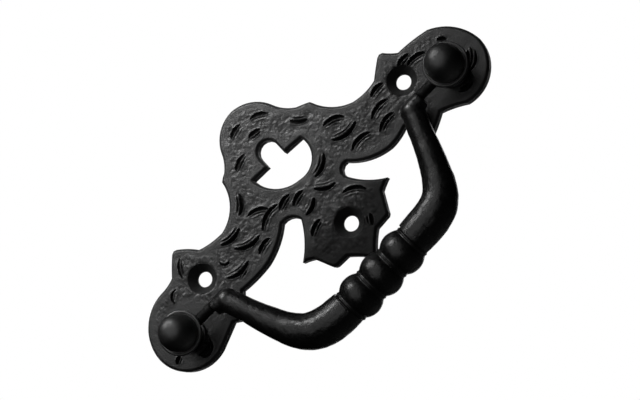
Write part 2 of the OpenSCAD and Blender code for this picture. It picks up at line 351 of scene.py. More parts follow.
@dataclass(frozen=True)
class Matte:
    """Plain matte finish of the stage. With lift it shines a little, for the camera only."""

    name: str
    colour: Triple
    roughness: float
    specular: float
    lift: float = 0.0

    def material(self) -> bpy.types.Material:
        """Builds the node material.

        Returns:
            The material.
        """
        graph = Graph(bpy.data.materials.new(self.name))
        graph.feed(graph.shader, {"Base Color": (*self.colour, 1.0), "Roughness": self.roughness,
                                  "Specular IOR Level": self.specular})
        if self.lift > 0:
            seen = graph.add("ShaderNodeLightPath").outputs["Is Camera Ray"]
            glow = graph.maths("MULTIPLY", seen, self.lift)
            graph.feed(graph.shader, {"Emission Color": WHITE, "Emission Strength": glow})
        return graph.owner


@dataclass(frozen=True)
class Ridge:
    """A small ridge or dip along a cut: distance from the groove's edge, width and share of the height."""

    crest: float
    width: float
    share: float

    def height(self, beside: Array) -> Array:
        """Its share of the height at each distance from the groove's edge."""
        return self.share * np.exp(-((beside - self.crest) / self.width) ** 2)


@dataclass(frozen=True)
class CutStyle:
    """How the chisel marks look: a round groove, burrs beside it and a faint second cut inside."""

    width: float = 1.05
    depth: float = 0.6
    burr: float = 0.3
    overrun: float = 1.12
    least_half: float = 0.02
    roundness: float = 0.6
    inner: tuple[Ridge, ...] = (Ridge(0.22, 0.2, 1.0), Ridge(1.0, 0.22, 0.7))
    outer: Ridge = Ridge(0.15, 0.15, 0.5)
    echo: Ridge = Ridge(0.62, 0.2, 0.45)


@dataclass(frozen=True)
class ChiselMark:
    """One crescent cut, read off its solid or listed. Its strength is a share of the full cut."""

    centre: Array
    radius: float
    heading: Array
    half_angle: float
    strength: float = 1.0

    @staticmethod
    def through(first: Pair, bend: Pair, last: Pair) -> "ChiselMark":
        """A faint cut along the arc through three points, x and z in millimetres."""
        a, b, c = (np.array(p) for p in (first, bend, last))
        rows = 2 * np.array([b - a, c - a])
        middle = np.linalg.solve(rows, np.array([b @ b - a @ a, c @ c - a @ a]))
        radius = np.linalg.norm(a - middle)
        heading = (a + c) / 2 - middle
        half = math.asin(min(1.0, np.linalg.norm(c - a) / 2 / radius))
        return ChiselMark(middle, radius, heading / np.linalg.norm(heading), half, FAINT_CUT)

    @staticmethod
    def from_floor(corners: Array, groove: float) -> "ChiselMark":
        """Finds the arc of a crescent from the corners of its floor.

        Args:
            corners: Points on the floor's edge, in millimetres (x, z).
            groove: Widest part of the groove.

        Returns:
            The mark.
        """
        gaps = np.linalg.norm(corners[:, None] - corners[None], axis=2)
        a, b = np.unravel_index(gaps.argmax(), gaps.shape)
        tip, chord = corners[a], corners[b] - corners[a]
        length = np.linalg.norm(chord)
        across = np.array([-chord[1], chord[0]]) / length
        rise = (corners - tip) @ across
        peak = rise[np.abs(rise).argmax()]
        heading = across * np.sign(peak)
        sag = max(abs(peak) - groove / 2, LEAST_SAG)
        radius = (length * length / 4 + sag * sag) / (2 * sag)
        middle = tip + chord / 2 + heading * (sag - radius)
        return ChiselMark(middle, radius, heading, math.asin(min(1.0, length / 2 / radius)))

    def relief(self, x: Array, z: Array, style: CutStyle) -> tuple[Array, Array]:
        """Height of the cut and of the metal thrown up beside it.

        Args:
            x: Points' x in millimetres.
            z: Points' z in millimetres.
            style: How the cuts look.

        Returns:
            The groove, zero or less, and the lip, zero or more.
        """
        rx, rz = x - self.centre[0], z - self.centre[1]
        away = np.hypot(rx, rz)
        along = rx * self.heading[0] + rz * self.heading[1]
        angle = np.arccos(np.clip(along / np.maximum(away, 1e-6), -1, 1))
        fade = np.clip(1 - (angle / self.half_angle / style.overrun) ** 2, 0, 1) ** 0.5
        offset = away - self.radius
        half = 0.5 * style.width * self.strength * fade + style.least_half
        inside, outside = -offset - half, offset - half
        depth = style.depth * self.strength * fade
        share = 0.5 + 0.5 * math.sin(3.0 * self.centre[0] + 5.0 * self.centre[1])
        groove = np.minimum(-depth * np.clip(1 - (offset / half) ** 2, 0, 1) ** style.roundness,
                            -share * depth * fade * style.echo.height(inside))
        ridges = sum(ridge.height(inside) for ridge in style.inner) + style.outer.height(outside)
        return groove, style.burr * self.strength * fade * ridges


@dataclass(frozen=True)
class WearAndPaintedLight:
    """Where the plate's finish is paler or darker, as changes of its tone: wear on lips, grain and edges, dark paint
    with painted shade in the cuts, painted light on the top lobe and painted shade on the pendant.

    A band is a pair of places in millimetres between which an effect sets in. Wall is the tone of the side
    walls, hollow those of the countersinks' cones, throats and bores.
    """

    cut_paint_and_shade: float = 3.0
    lip_wear: float = 1.4
    lip_most: float = 0.3
    grain_wear: float = 2.2
    grain_range: Pair = (-0.08, 0.1)
    grain_clear: float = 0.05
    edge_wear: float = 0.12
    edge_band: Pair = (-0.7, -0.15)
    lobe_painted_light: float = 0.12
    lobe_light_band: Pair = (8.0, 26.0)
    pendant_painted_shade: float = 0.3
    pendant_shade_calm: float = 0.75
    pendant_low: Pair = (1.0, 9.0)
    pendant_side: Pair = (-22.0, -14.0)
    wall: float = 0.42
    hollow: Triple = (0.3, 0.35, 0.4)


@dataclass
class Skin:
    """Points, tones and faces of a mesh while it is put together."""

    points: list[Array] = field(default_factory=list)
    tones: list[Array] = field(default_factory=list)
    faces: list = field(default_factory=list)
    count: int = 0

    def add(self, points: Array, tone: float | Array) -> list[int]:
        """Adds points with one tone for all or one for each, and gives their numbers."""
        self.points.append(points)
        self.tones.append(np.full(len(points), tone))
        self.count += len(points)
        return list(range(self.count - len(points), self.count))

    def band(self, first: list[int], second: list[int]) -> None:
        """Adds the faces between two rings of equal length."""
        for i in range(len(first)):
            j = (i + 1) % len(first)
            self.faces.append((first[i], second[i], second[j], first[j]))


@dataclass
class Backplate:
    """The scalloped plate: outline and holes from the frame, front worked in relief.

    The fields from mark_depth to least_corners find the solid's cuts. A band is a pair of distances
    between which an effect sets in.
    """

    thickness: float = 3.0
    edge_round: float = 0.68
    edge_soft: float = 0.06
    back_round: float = 0.12
    wall_step: float = 0.5
    sink_radius: float = 4.2
    sink_depth: float = 2.1
    sink_soft: float = 0.06
    bore_round: float = 0.05
    sink_lip: Pair = (0.12, 0.2)
    sink_shares: tuple[float, ...] = (0.97, 0.75, 0.5)
    peen_radius: float = 3.4
    peen_depth: float = 0.9
    shank_radius: float = 2.5
    mark_depth: float = 0.45
    floor_width: float = 0.7
    least_corners: int = 4
    cut: CutStyle = CutStyle()
    wear_and_painted_light: WearAndPaintedLight = WearAndPaintedLight()
    swell: tuple[Lumps, ...] = (Lumps(0.12, 7.0, 3), Lumps(0.09, 2.2, 4))
    grain: tuple[Lumps, ...] = (Lumps(0.07, 1.0, 5), Lumps(0.075, 0.55, 6))
    ragged: Lumps = Lumps(0.4, 0.8, 9)
    lip_clear: float = 0.1
    calm_swell: float = 0.35
    calm_grain: float = 0.12
    field_band: Pair = (1.4, 3.2)
    rivet_band: Pair = (8.0, 11.0)
    edge_step: float = 0.3
    fine_step: float = 0.2
    edge_clear: float = 0.09
    piece_name: str = "plate_casting"
    loops: dict[str, Array] = field(default_factory=dict)
    marks: list[ChiselMark] = field(default_factory=list)
    faint_marks: tuple = (
        ((-37.8, 17.5), (-39.6, 15.8), (-40.6, 13.1)),
        ((-44.2, 12.2), (-46.0, 11.7), (-46.7, 9.6)),
        ((-47.4, -4.3), (-48.0, -6.4), (-50.6, -5.7)),
        ((-46.0, -4.3), (-47.5, -6.9), (-50.5, -6.7)),
        ((56.5, 0.9), (55.2, -1.2), (52.3, -2.7)),
        ((56.8, -0.5), (55.4, -2.4), (52.0, -3.4)),
        ((46.6, -5.3), (48.4, -6.3), (50.7, -5.9)),
        ((-25.9, 2.3), (-27.3, 2.2), (-28.7, 1.5)),
        ((-30.2, 8.7), (-29.8, 7.3), (-28.0, 7.1)),
    )

    def read_frame(self) -> None:
        """Takes the outline, the holes and the chisel marks from the solid."""
        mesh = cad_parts["backplate"].data
        mesh.calc_loop_triangles()
        tris = np.empty(len(mesh.loop_triangles) * 3, dtype=int)
        mesh.loop_triangles.foreach_get("vertices", tris)
        keys, ids = np.unique(np.round(vertex_rows(mesh) / MM, 3), axis=0, return_inverse=True)
        tris = ids.ravel()[tris.reshape(-1, 3)]
        depth = keys[tris][:, :, 1]
        self._read_back(keys, tris[np.abs(depth).max(axis=1) < 0.01])
        self._read_marks(keys, tris[np.abs(depth + self.thickness - self.mark_depth).max(axis=1) < 0.02])

    def _read_back(self, keys: Array, tris: Array) -> None:
        """Chains the back face's open edges into loops and names them.

        Args:
            keys: Vertices in millimetres.
            tris: The back face's triangles.
        """
        edges: dict[tuple[int, int], bool] = {}
        for tri in tris:
            for a, b in zip(tri, np.roll(tri, -1)):
                if not edges.pop((b, a), False):
                    edges[(a, b)] = True
        step = dict(edges.keys())
        loops = []
        while step:
            start = next(iter(step))
            chain = [start]
            while step.get(chain[-1]) is not None and step[chain[-1]] != start:
                chain.append(step.pop(chain[-1]))
            step.pop(chain[-1], None)
            loops.append(keys[chain][:, [0, 2]])
        loops.sort(key=lambda loop: -np.ptp(loop, axis=0).max())
        self.loops = {"rim": loops[0], "keyhole": loops[1]}
        for loop in loops[2:]:
            middle, width = (loop.max(axis=0) + loop.min(axis=0)) / 2, np.ptp(loop, axis=0).max()
            kind = "rivet" if width > 2 * self.shank_radius else "screw"
            self.loops[f"{kind}_{sum(k.startswith(kind) for k in self.loops)}"] = middle

    def _read_marks(self, keys: Array, tris: Array) -> None:
        """Groups the floors of the chisel marks into separate cuts.

        Args:
            keys: Vertices in millimetres.
            tris: Triangles on the floors.
        """
        group: dict[int, int] = {}

        def root(i: int) -> int:
            """The group's first member."""
            while group.setdefault(i, i) != i:
                i = group[i]
            return i

        for a, b, c in tris:
            group[root(b)] = root(a)
            group[root(c)] = root(a)
        members: dict[int, list[int]] = {}
        for i in list(group):
            members.setdefault(root(i), []).append(i)
        self.marks = [ChiselMark.from_floor(keys[m][:, [0, 2]], self.floor_width) for m in members.values()
                      if len(m) > self.least_corners]
        self.marks += [ChiselMark.through(*corners) for corners in self.faint_marks]

    @staticmethod
    def resample(loop: Array, step: float) -> Array:
        """The closed loop with no side longer than step."""
        out = []
        for a, b in zip(loop, np.roll(loop, -1, axis=0)):
            count = max(1, int(math.ceil(np.linalg.norm(b - a) / step)))
            out += [a + (b - a) * k / count for k in range(count)]
        return np.array(out)

    @staticmethod
    def circle(middle: Array, radius: float, count: int = 96) -> Array:
        """A circle's points, counterclockwise."""
        turn = full_turn(count)
        return middle + radius * np.stack([np.cos(turn), np.sin(turn)], axis=1)

    @staticmethod
    def inside(points: Array, loop: Array) -> Array:
        """Whether each point lies inside a closed loop."""
        result = np.zeros(len(points), dtype=bool)
        for a, b in zip(loop, np.roll(loop, -1, axis=0)):
            crosses = (a[1] > points[:, 1]) != (b[1] > points[:, 1])
            if crosses.any():
                at = a[0] + (points[:, 1] - a[1]) * (b[0] - a[0]) / (b[1] - a[1])
                result ^= crosses & (points[:, 0] < at)
        return result

    @staticmethod
    def distance(points: Array, loop: Array) -> Array:
        """Distance of each point from a closed loop."""
        best = np.full(len(points), np.inf)
        for a, b in zip(loop, np.roll(loop, -1, axis=0)):
            side = b - a
            t = np.clip(((points - a) @ side) / max(side @ side, 1e-12), 0, 1)
            best = np.minimum(best, np.linalg.norm(points - a - t[:, None] * side, axis=1))
        return best

    def within(self, points: Array, loops: list[Array]) -> Array:
        """Whether each point lies inside the first loop and outside the others."""
        result = self.inside(points, loops[0])
        for loop in loops[1:]:
            result &= ~self.inside(points, loop)
        return result

    @staticmethod
    def off_middle(points: Array, middle: Array) -> Array:
        """Distance of each point from the middle of a hole."""
        return np.hypot(*(points - middle).T)

    def named(self, kind: str) -> list[Array]:
        """Middles of the holes of one kind."""
        return [loop for name, loop in self.loops.items() if name.startswith(kind)]

    def edge_distance(self, points: Array) -> Array:
        """Distance of each point from the rim or the keyhole."""
        return np.minimum(self.distance(points, self.loops["rim"]), self.distance(points, self.loops["keyhole"]))

    def front(self, points: Array) -> tuple[Array, Array]:
        """Height of the front and its tone.

        Args:
            points: Points in millimetres (x, z).

        Returns:
            Distance from the back face, and the tone per point.
        """
        x, z = points[:, 0], points[:, 1]
        edge = self.edge_distance(points)
        worked = smooth_step(edge, *self.field_band)
        for middle in self.named("rivet"):
            worked *= smooth_step(self.off_middle(points, middle), *self.rivet_band)
        swell = sum(layer.at(x, z) for layer in self.swell)
        grain = sum(layer.at(x, z) for layer in self.grain)
        height = swell * (self.calm_swell + (1 - self.calm_swell) * worked)
        height += grain * (self.calm_grain + (1 - self.calm_grain) * worked)
        cut, lip = np.zeros(len(x)), np.zeros(len(x))
        for mark in self.marks:
            groove, raised = mark.relief(x, z, self.cut)
            cut, lip = np.minimum(cut, groove), np.maximum(lip, raised)
        height += cut + lip * (1 + self.ragged.at(x, z)) * (cut > -self.lip_clear)
        near = np.clip(self.edge_round - edge, 0, self.edge_round)
        height -= near - self.edge_soft * (1 - np.exp(-near / self.edge_soft))
        for middle in self.named("screw"):
            out = self.off_middle(points, middle) - self.sink_radius
            height -= self.sink_lip[0] * np.exp(-(out / self.sink_lip[1]) ** 2)

        wear_and_painted_light = self.wear_and_painted_light
        # Painted shade: the pendant is darker and its grain less pale, standing in for the light falling off towards
        # the bottom.
        pendant_shade_mask = smooth_step(-z, *wear_and_painted_light.pendant_low) * smooth_step(-np.abs(x), *wear_and_painted_light.pendant_side)
        # The cuts are darker: dark paint pooled in them, plus painted shade for the shadow inside the grooves.
        tone = PLAIN + PLAIN * np.clip(wear_and_painted_light.cut_paint_and_shade * cut / self.mark_depth, -1, 0)
        tone += wear_and_painted_light.lip_wear * np.clip(lip, 0, wear_and_painted_light.lip_most)
        tone += (wear_and_painted_light.grain_wear * np.clip(grain, *wear_and_painted_light.grain_range) * worked * (cut > -wear_and_painted_light.grain_clear)
                 * (1 - wear_and_painted_light.pendant_shade_calm * pendant_shade_mask))
        tone += wear_and_painted_light.edge_wear * smooth_step(-edge, *wear_and_painted_light.edge_band)
        # Painted light: the top lobe is paler, standing in for the light falling on it from above.
        tone += wear_and_painted_light.lobe_painted_light * smooth_step(z, *wear_and_painted_light.lobe_light_band) - wear_and_painted_light.pendant_painted_shade * pendant_shade_mask
        return self.thickness + height, np.clip(tone, 0, 1)

    def build(self) -> Piece:
        """Builds the casting and puts it on the plate's body.

        Returns:
            The piece.
        """
        self.read_frame()
        loops = [self.resample(self.loops[name], self.edge_step) for name in ("rim", "keyhole")]
        loops += [self.circle(middle, self.sink_radius) for middle in self.named("screw")]
        flat, tris = self._fill(loops, self._grid(loops))
        height, tone = self.front(flat)
        skin = Skin(faces=tris)
        skin.add(off_door(flat, height), tone)
        back_loops, start = [], 0
        for number, loop in enumerate(loops):
            chain = list(range(start, start + len(loop)))
            start += len(loop)
            for ring, ring_tone in self._wall(loop, number):
                below = skin.add(ring, ring_tone)
                skin.band(chain, below)
                chain = below
            back_loops.append((chain, ring[:, [0, 2]]))
        back_loops += [self._rivet(skin, middle) for middle in self.named("rivet")]
        skin.faces += self._back(back_loops)
        piece = make_mesh(self.piece_name, np.concatenate(skin.points), skin.faces, np.concatenate(skin.tones))
        face_outwards(piece)
        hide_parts("backplate")
        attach(piece, "plate")
        return piece

    def _rivet(self, skin: Skin, middle: Array) -> tuple[list[int], Array]:
        """The hollow in the back for a post's riveted end.

        Args:
            skin: The plate's mesh, which the hollow is added to.
            middle: Middle of the hollow.

        Returns:
            Vertex numbers and places of the hollow's mouth.
        """
        mouth, tone = self.circle(middle, self.peen_radius), self.wear_and_painted_light.hollow[0]
        outer = skin.add(off_door(mouth, 0.0), tone)
        inner = skin.add(off_door(self.circle(middle, self.shank_radius), self.peen_depth), tone)
        hub = skin.add(off_door(middle[None], self.peen_depth), tone)
        skin.band(outer, inner)
        skin.faces += [(a, b, hub[0]) for a, b in zip(inner, inner[1:] + inner[:1])]
        return outer, mouth

    def _wall(self, loop: Array, number: int) -> list[tuple[Array, float]]:
        """Rings of points from a front edge down to the back face.

        Args:
            loop: The front edge.
            number: 0 for the rim, 1 for the keyhole, then the countersinks.

        Returns:
            Each ring with its tone.
        """
        if number < 2:
            heights = (self.thickness - self.edge_round - self.wall_step, self.back_round + self.wall_step,
                       self.back_round)
            inward = self._inset(loop, self.back_round if number == 0 else -self.back_round)
            return [*((off_door(loop, height), self.wear_and_painted_light.wall) for height in heights),
                    (off_door(inward, 0.0), PLAIN)]
        middle, bore, throat = loop.mean(axis=0), self.sink_radius - self.sink_depth, self.thickness - self.sink_depth
        cone_tone, throat_tone, bore_tone = self.wear_and_painted_light.hollow
        rings = [(bore + self.sink_depth * share, throat + self.sink_depth * share - self.sink_soft, cone_tone)
                 for share in self.sink_shares]
        rings += [(bore + self.bore_round, throat, throat_tone), (bore, throat - self.sink_soft, bore_tone),
                  (bore, 0.0, bore_tone)]
        way = (loop - middle) / np.linalg.norm(loop - middle, axis=1, keepdims=True)
        return [(off_door(middle + radius * way, height), tone) for radius, height, tone in rings]

    @staticmethod
    def _inset(loop: Array, amount: float) -> Array:
        """The closed loop moved towards its inside, or outwards by a negative amount."""
        after, before = np.roll(loop, -1, axis=0), np.roll(loop, 1, axis=0)
        area = 0.5 * np.sum(loop[:, 0] * after[:, 1] - after[:, 0] * loop[:, 1])
        tangent = after - before
        tangent /= np.maximum(np.linalg.norm(tangent, axis=1, keepdims=True), 1e-9)
        inward = np.stack([-tangent[:, 1], tangent[:, 0]], axis=1) * np.sign(area)
        return loop + amount * inward

    def _grid(self, loops: list[Array]) -> Array:
        """Evenly spaced points inside the front, clear of its loops, outer one first."""
        low, high = loops[0].min(axis=0), loops[0].max(axis=0)
        step, row = self.fine_step, self.fine_step * math.sqrt(3) / 2
        i, j = np.meshgrid(np.arange(int((high[0] - low[0]) / step) + 2),
                           np.arange(int((high[1] - low[1]) / row) + 2), indexing="ij")
        points = np.stack([low[0] + (i + 0.5 * (j % 2)) * step, low[1] + j * row], axis=-1).reshape(-1, 2)
        points = points[self.within(points, loops)]
        clear = self.edge_distance(points) > self.edge_clear
        for middle in self.named("screw"):
            clear &= self.off_middle(points, middle) - self.sink_radius > self.edge_clear
        return points[clear]

    def _fill(self, loops: list[Array], inner: Array) -> Surface:
        """Triangulates the area inside the first loop and outside the others.

        Args:
            loops: The loops, outer one first.
            inner: Points between them.

        Returns:
            The points, loops first and in order, and the triangles.
        """
        sides, base = [], 0
        for loop in loops:
            sides += [(base + i, base + (i + 1) % len(loop)) for i in range(len(loop))]
            base += len(loop)
        points = np.concatenate([*loops, inner])
        made = delaunay_2d_cdt([Vector(p) for p in points], sides, [], 0, 1e-6)
        order = np.array([source[0] for source in made[3]])
        tris = order[np.array(made[2])]
        return points, tris[self.within(points[tris].mean(axis=1), loops)].tolist()

    def _back(self, loops: list[tuple[list[int], Array]]) -> list:
        """Triangles of the flat back, from the vertex numbers and places of its loops, outer one first."""
        numbers = np.concatenate([np.array(chain) for chain, _ in loops])
        _, tris = self._fill([places for _, places in loops], np.empty((0, 2)))
        return [tuple(numbers[list(reversed(tri))]) for tri in tris]


@dataclass
class Post:
    """A post: riveted end, foot flange, neck, thin rim and domed head."""

    side: Side
    at: float = 49.0
    thickness: float = 3.0
    peen_radius: float = 3.38
    peen_depth: float = 0.9
    peen_chamfer: Pair = (0.1, 0.04)
    shank_radius: float = 2.46
    sunk: float = 0.05
    foot_radius: float = 4.5
    foot_height: float = 0.8
    neck_radius: float = 3.2
    fillet: float = 0.5
    rim_radius: float = 6.1
    rim_height: float = 0.9
    rim_level: float = 10.0
    head_radius: float = 5.6
    head_level: float = 12.144
    rim_width: float = 0.85
    gap_depth: float = 0.35
    gap_slope: Pair = (0.06, 0.12)
    gap_width: float = 0.14
    fullness: float = 2.5
    dome_steps: int = 40
    wobble: float = 0.006
    wobble_reach: float = 2.0
    wobble_rise: float = 0.4
    casting: Lumps = Lumps(0.03, 1.4, 31)
    turns: int = 128

    def profile(self) -> list[Pair]:
        """Radius and distance off the door along the post, from the back to the crown.

        Returns:
            The corners of the profile.
        """
        foot_half, rim_half, seat = self.foot_height / 2, self.rim_height / 2, self.rim_level + self.rim_height
        corners = [(self.peen_radius - self.peen_chamfer[0], 0.0), (self.peen_radius, self.peen_chamfer[1]),
                   (self.shank_radius, self.peen_depth), (self.shank_radius, self.thickness - self.sunk),
                   (self.foot_radius - foot_half, self.thickness - self.sunk)]
        corners += self._half_round(self.foot_radius, self.thickness + foot_half, foot_half)
        corners += self._fillet(self.neck_radius, self.thickness + self.foot_height, self.fillet, up=True)
        corners += self._fillet(self.neck_radius, self.rim_level, self.fillet, up=False)
        corners += self._half_round(self.rim_radius, self.rim_level + rim_half, rim_half)
        ledge, floor = self.rim_radius - self.rim_width, seat - self.gap_depth
        narrow, high = self.gap_slope
        corners += [(ledge + narrow, seat - high), (ledge, floor), (ledge - high, floor)]
        rise, bend = self.head_level + self.head_radius - floor, 2 / self.fullness
        for k in range(self.dome_steps):
            a = math.pi / 2 * k / self.dome_steps
            corners.append(((ledge - self.gap_width) * math.cos(a) ** bend, floor + rise * math.sin(a) ** bend))
        return corners

    @staticmethod
    def _half_round(radius: float, middle: float, half: float) -> list[Pair]:
        """A half-round edge, from below to above."""
        turns = [math.radians(-90 + 15 * k) for k in range(13)]
        return [(radius - half + half * math.cos(a), middle + half * math.sin(a)) for a in turns]

    @staticmethod
    def _fillet(neck: float, level: float, size: float, up: bool) -> list[Pair]:
        """A hollow corner between a flat at a level and the neck that rises from it, or ends at it."""
        turns = [math.radians(90 * k / 6) for k in range(7)]
        if up:
            return [(neck + size - size * math.sin(a), level + size - size * math.cos(a)) for a in turns]
        return [(neck + size - size * math.cos(a), level - size + size * math.sin(a)) for a in turns]

    def build(self) -> Piece:
        """Turns the profile round the post's axis.

        Returns:
            The piece.
        """
        turn = full_turn(self.turns)
        centre, shift, seed = self.side.value * self.at, self.side.value * 40, 21
        rings = []
        for radius, level in self.profile():
            wave = value_noise(np.cos(turn) * self.wobble_reach + shift,
                               np.sin(turn) * self.wobble_reach + level * self.wobble_rise, 1.0, seed)
            reach = radius * (1 - self.wobble + self.wobble * wave)
            rings.append(off_door(np.stack([centre + reach * np.cos(turn), reach * np.sin(turn)], axis=1), level))
        name = f"{self.side.name.lower()}_post"
        piece = make_mesh(f"{name}_turned", *skin_rings(rings))
        face_outwards(piece)
        roughen(piece, self.casting)
        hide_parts(name)
        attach(piece, "plate")
        return piece


@dataclass
class Bail:
    """The swinging handle: blunt ends with pins, tapering arms and a turned bar."""

    pin_level: float = 7.3
    pin_radius: float = 1.6
    pin_end: float = 49.2
    arm_x: float = 34.5
    arm_drop: float = 1.75
    arm_top_d: float = 6.7
    arm_spread: float = 0.4
    arm_swell: float = 1.0
    end_length: float = 4.26
    end_radius: Pair = (3.45, 2.5)
    end_top: float = 1.68
    end_round: float = 0.5
    end_soft: float = 0.12
    ball_over: float = 0.1
    hang: dict[Side, Pair] = field(
        default_factory=lambda: {Side.LEFT: (-0.28, -0.7), Side.RIGHT: (-0.335, -0.85)})
    turn: dict[Side, float] = field(default_factory=lambda: {Side.LEFT: 0.565, Side.RIGHT: 0.545})
    bar_d: float = 10.4
    bar_drop: float = 26.3
    bar_sag: float = 0.3
    bar_tilt: float = 1.7
    bar_end: float = 11.8
    bead_d: float = 12.2
    bead_w: float = 6.8
    bead_pitch: float = 7.6
    collar_d: float = 10.3
    collar_w: float = 0.7
    groove_depth: float = 0.4
    soften: int = 7
    voxel: float = 0.24
    relax_steps: int = 6
    pin_painted_shade: float = 0.4
    pin_shade_band: Pair = (-0.3, 0.3)
    arm_casting: tuple[Lumps, ...] = (Lumps(0.3, 2.4, 41), Lumps(0.14, 0.9, 51))
    bar_casting: Lumps = Lumps(0.2, 1.8, 61)
    arm_steps: int = 90
    bar_steps: int = 401
    sides: int = 72

    @staticmethod
    def cubic(values: list[float], t: Array) -> Array:
        """A cubic curve through four control values."""
        return (values[0] * (1 - t) ** 3 + 3 * values[1] * t * (1 - t) ** 2
                + 3 * values[2] * t * t * (1 - t) + values[3] * t ** 3)

    def arm_line(self, side: Side, t: Array) -> tuple[Array, Array, Array]:
        """Middle line and radius of an arm, as if it were on the right.

        Args:
            side: Which arm.
            t: Places along the arm, 0 at its upper end and 1 at the bar.

        Returns:
            The x, the z and the radius at each place.
        """
        tilt = math.radians(self.bar_tilt)
        out_x, out_z = math.cos(tilt), side.value * math.sin(tilt)
        ax, az = self.arm_x, -self.arm_drop
        bx, bz = self.bar_end * out_x, self.bar_sag - self.bar_drop + self.bar_end * out_z
        hang, reach = self.hang[side], self.turn[side] * self.bar_drop
        x = self.cubic([ax, ax + hang[0] * self.bar_drop, bx + reach * out_x, bx], t)
        z = self.cubic([az, az + hang[1] * self.bar_drop, bz + reach * out_z, bz], t)
        top, low = self.arm_top_d / 2, self.bar_d / 2
        return x, z, self.cubic([top, top + self.arm_spread, low + self.arm_swell, low], t)

    def build(self) -> list[Piece]:
        """Builds the two arms and the bar.

        Returns:
            The pieces.
        """
        pieces = [self._arm(side) for side in Side]
        pieces.append(self._bar())
        for piece in pieces:
            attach(piece, "bail")
        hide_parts("bail_handle")
        return pieces

    def _arm(self, side: Side) -> Piece:
        """One arm with its blunt upper end and pin, fused into one casting.

        Args:
            side: Which arm.

        Returns:
            The piece.
        """
        t = np.linspace(0, 1, self.arm_steps)
        x, z, r = self.arm_line(side, t)
        dx, dz = np.gradient(x, t), np.gradient(z, t)
        scale = np.hypot(dx, dz)
        dx, dz = dx / scale, dz / scale
        turn = full_turn(self.sides)
        rings = []
        for k in range(len(t)):
            across = np.stack([dz[k] * np.cos(turn), np.sin(turn), -dx[k] * np.cos(turn)], axis=1)
            rings.append(np.array([x[k], 0.0, z[k]]) + r[k] * across)
        pin = self._tube([(self.arm_x, self.pin_radius, 0.0), (self.pin_end, self.pin_radius, 0.0)])
        points, faces, base = [], [], 0
        for part_points, part_faces in (skin_rings(rings), self._ball(), self._blunt_end(), pin):
            points.append(part_points)
            faces += [tuple(i + base for i in f) for f in part_faces]
            base += len(part_points)
        joined = np.concatenate(points)
        joined[:, 0] *= side.value
        joined[:, 1] -= self.pin_level
        piece = make_mesh(f"bail_arm_{side.name.lower()}", joined, faces)
        face_outwards(piece)
        self._fuse(piece)
        out = np.abs(vertex_rows(piece.data)[:, 0]) / MM - self.arm_x - self.end_length
        # Painted shade: the pin is darker and duller, standing in for the shade round it under the blunt end and the
        # head.
        paint_tones(piece.data, PLAIN - self.pin_painted_shade * smooth_step(out, *self.pin_shade_band))
        roughen(piece, *self.arm_casting)
        return piece

    def _fuse(self, piece: Piece) -> None:
        """Melts the overlapping shapes of a piece into one soft-cornered casting."""
        remesh = piece.modifiers.new("fuse", "REMESH")
        remesh.mode, remesh.voxel_size, remesh.adaptivity = "VOXEL", self.voxel * MM, 0.0
        relax = piece.modifiers.new("relax", "SMOOTH")
        relax.factor, relax.iterations = 0.5, self.relax_steps
        graph = bpy.context.evaluated_depsgraph_get()
        made = bpy.data.meshes.new_from_object(piece.evaluated_get(graph))
        piece.modifiers.clear()
        old, piece.data = piece.data, made
        bpy.data.meshes.remove(old)
        made.shade_smooth()

    def _tube(self, stations: list[Triple]) -> Surface:
        """A closed tube along x through rings given by place, radius and height of the middle."""
        turn = full_turn(self.sides)
        return skin_rings([np.stack([np.full(self.sides, x), radius * np.cos(turn), level + radius * np.sin(turn)],
                                    axis=1) for x, radius, level in stations])

    def _blunt_end(self) -> Surface:
        """The arm's blunt end: flush with the pin on top and drawn in below."""
        wide, narrow = self.end_radius
        steps = ((0.0, wide), (self.end_length - self.end_round, narrow),
                 (self.end_length - self.end_soft, narrow - self.end_soft),
                 (self.end_length, narrow - self.end_round))
        return self._tube([(self.arm_x + along, radius, self.end_top - max(radius, narrow))
                           for along, radius in steps])

    def _ball(self) -> Surface:
        """A ball for the bend at the arm's upper end."""
        turn, radius = full_turn(self.sides), self.arm_top_d / 2 + self.ball_over
        middle = np.array([self.arm_x, 0.0, -self.arm_drop])
        return skin_rings([middle + radius * np.stack([np.cos(a) * np.cos(turn), np.cos(a) * np.sin(turn),
                                                       np.full(self.sides, np.sin(a))], axis=1)
                           for a in np.linspace(-1.5, 1.5, 25)])

    def bar_radius(self, x: Array) -> Array:
        """Radius of the turned bar at each x.

        Args:
            x: Places along the bar, 0 at its middle.

        Returns:
            The radius at each place.
        """
        core = self.bar_d / 2 - self.groove_depth
        radius, rise, ring = np.full(len(x), core), self.bead_d / 2 - core, self.collar_w / 2
        ball = (self.bead_w ** 2 / 4 + rise ** 2) / (2 * rise)
        turned = [(k, self.bead_d / 2, self.bead_w / 2, ball) for k in (-1, 0, 1)]
        turned += [(k, self.collar_d / 2, ring, ring) for k in (-1.5, -0.5, 0.5, 1.5)]
        for k, top, half, bow in turned:
            u = x - k * self.bead_pitch
            crown = top - bow + np.sqrt(np.clip(bow ** 2 - u ** 2, 0, None))
            radius = np.where(np.abs(u) < half, np.maximum(radius, crown), radius)
        return radius

    def _bar(self) -> Piece:
        """The bar with its beads and collars."""
        half = self.bar_end + self.collar_w
        x = np.linspace(-half, half, self.bar_steps)
        radius = self.bar_radius(x)
        for _ in range(2):
            padded = np.pad(radius, self.soften // 2, mode="edge")
            radius = np.convolve(padded, np.ones(self.soften) / self.soften, mode="valid")
        points, faces = self._tube([(at, r, 0.0) for at, r in zip(x, radius)])
        tilt = math.radians(self.bar_tilt)
        across, up = points[:, 0].copy(), points[:, 2].copy()
        points[:, 0] = across * math.cos(tilt) - up * math.sin(tilt)
        points[:, 2] = across * math.sin(tilt) + up * math.cos(tilt) - self.bar_drop
        points[:, 1] -= self.pin_level
        piece = make_mesh("bail_bar", points, faces)
        face_outwards(piece)
        roughen(piece, self.bar_casting)
        return piece


